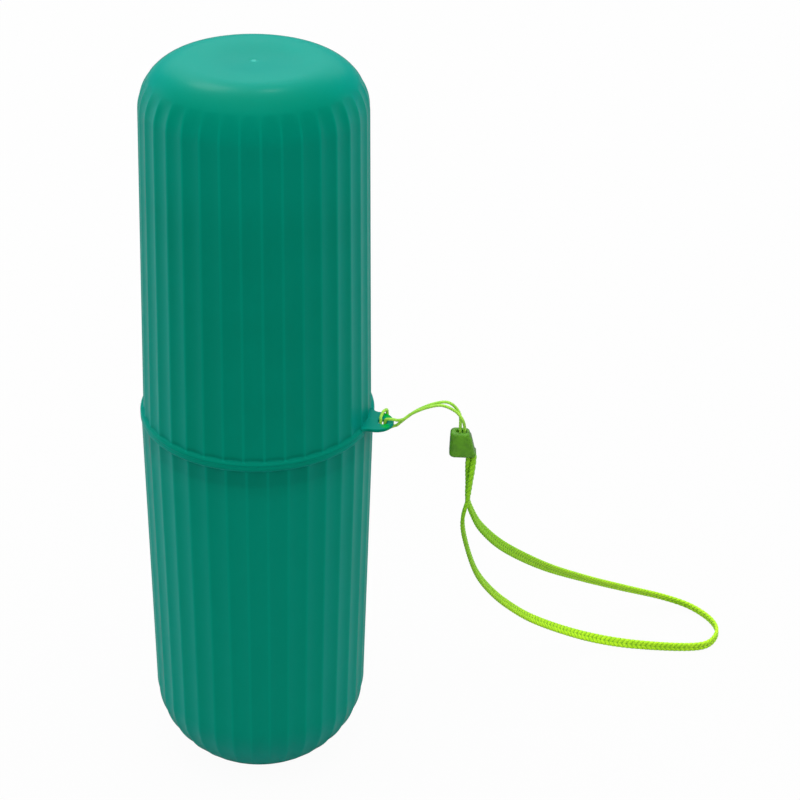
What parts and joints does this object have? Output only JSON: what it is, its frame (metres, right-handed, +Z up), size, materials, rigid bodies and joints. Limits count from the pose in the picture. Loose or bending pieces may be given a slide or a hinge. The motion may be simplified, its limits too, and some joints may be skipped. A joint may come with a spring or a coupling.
{
  "type": "toothbrush case",
  "caption": "Upright two-part toothbrush case: fluted plastic cups that plug together mouth to mouth, with a wrist lanyard hitched to a lug on the upper cup's flange.",
  "frame": {"origin": "centre of the case's base, where its axis meets the surface it stands on", "axes": "+Z up along the axis of both cups, +X from the axis towards the lug that holds the lanyard"},
  "size_m": [0.1608, 0.1276, 0.21],
  "materials": {
    "teal_plastic": "satin moulded polypropylene, faintly translucent",
    "lime_cord": "thin braided cord",
    "lime_weave": "woven tape with a herringbone face",
    "green_plastic": "smooth soft moulding"
  },
  "bodies": {
    "lower_case": {"lower_cup": "teal_plastic"},
    "upper_case": {"upper_cup": "teal_plastic", "lanyard_cord": "lime_cord", "cord_ferrule": "green_plastic", "wrist_strap": "lime_weave"}
  },
  "joints": [
    {"name": "cover_pull_off", "type": "slide", "parent": "lower_case", "child": "upper_case", "axis": [0, 0, 1], "range_m": [0, 0.12]}
  ]
}
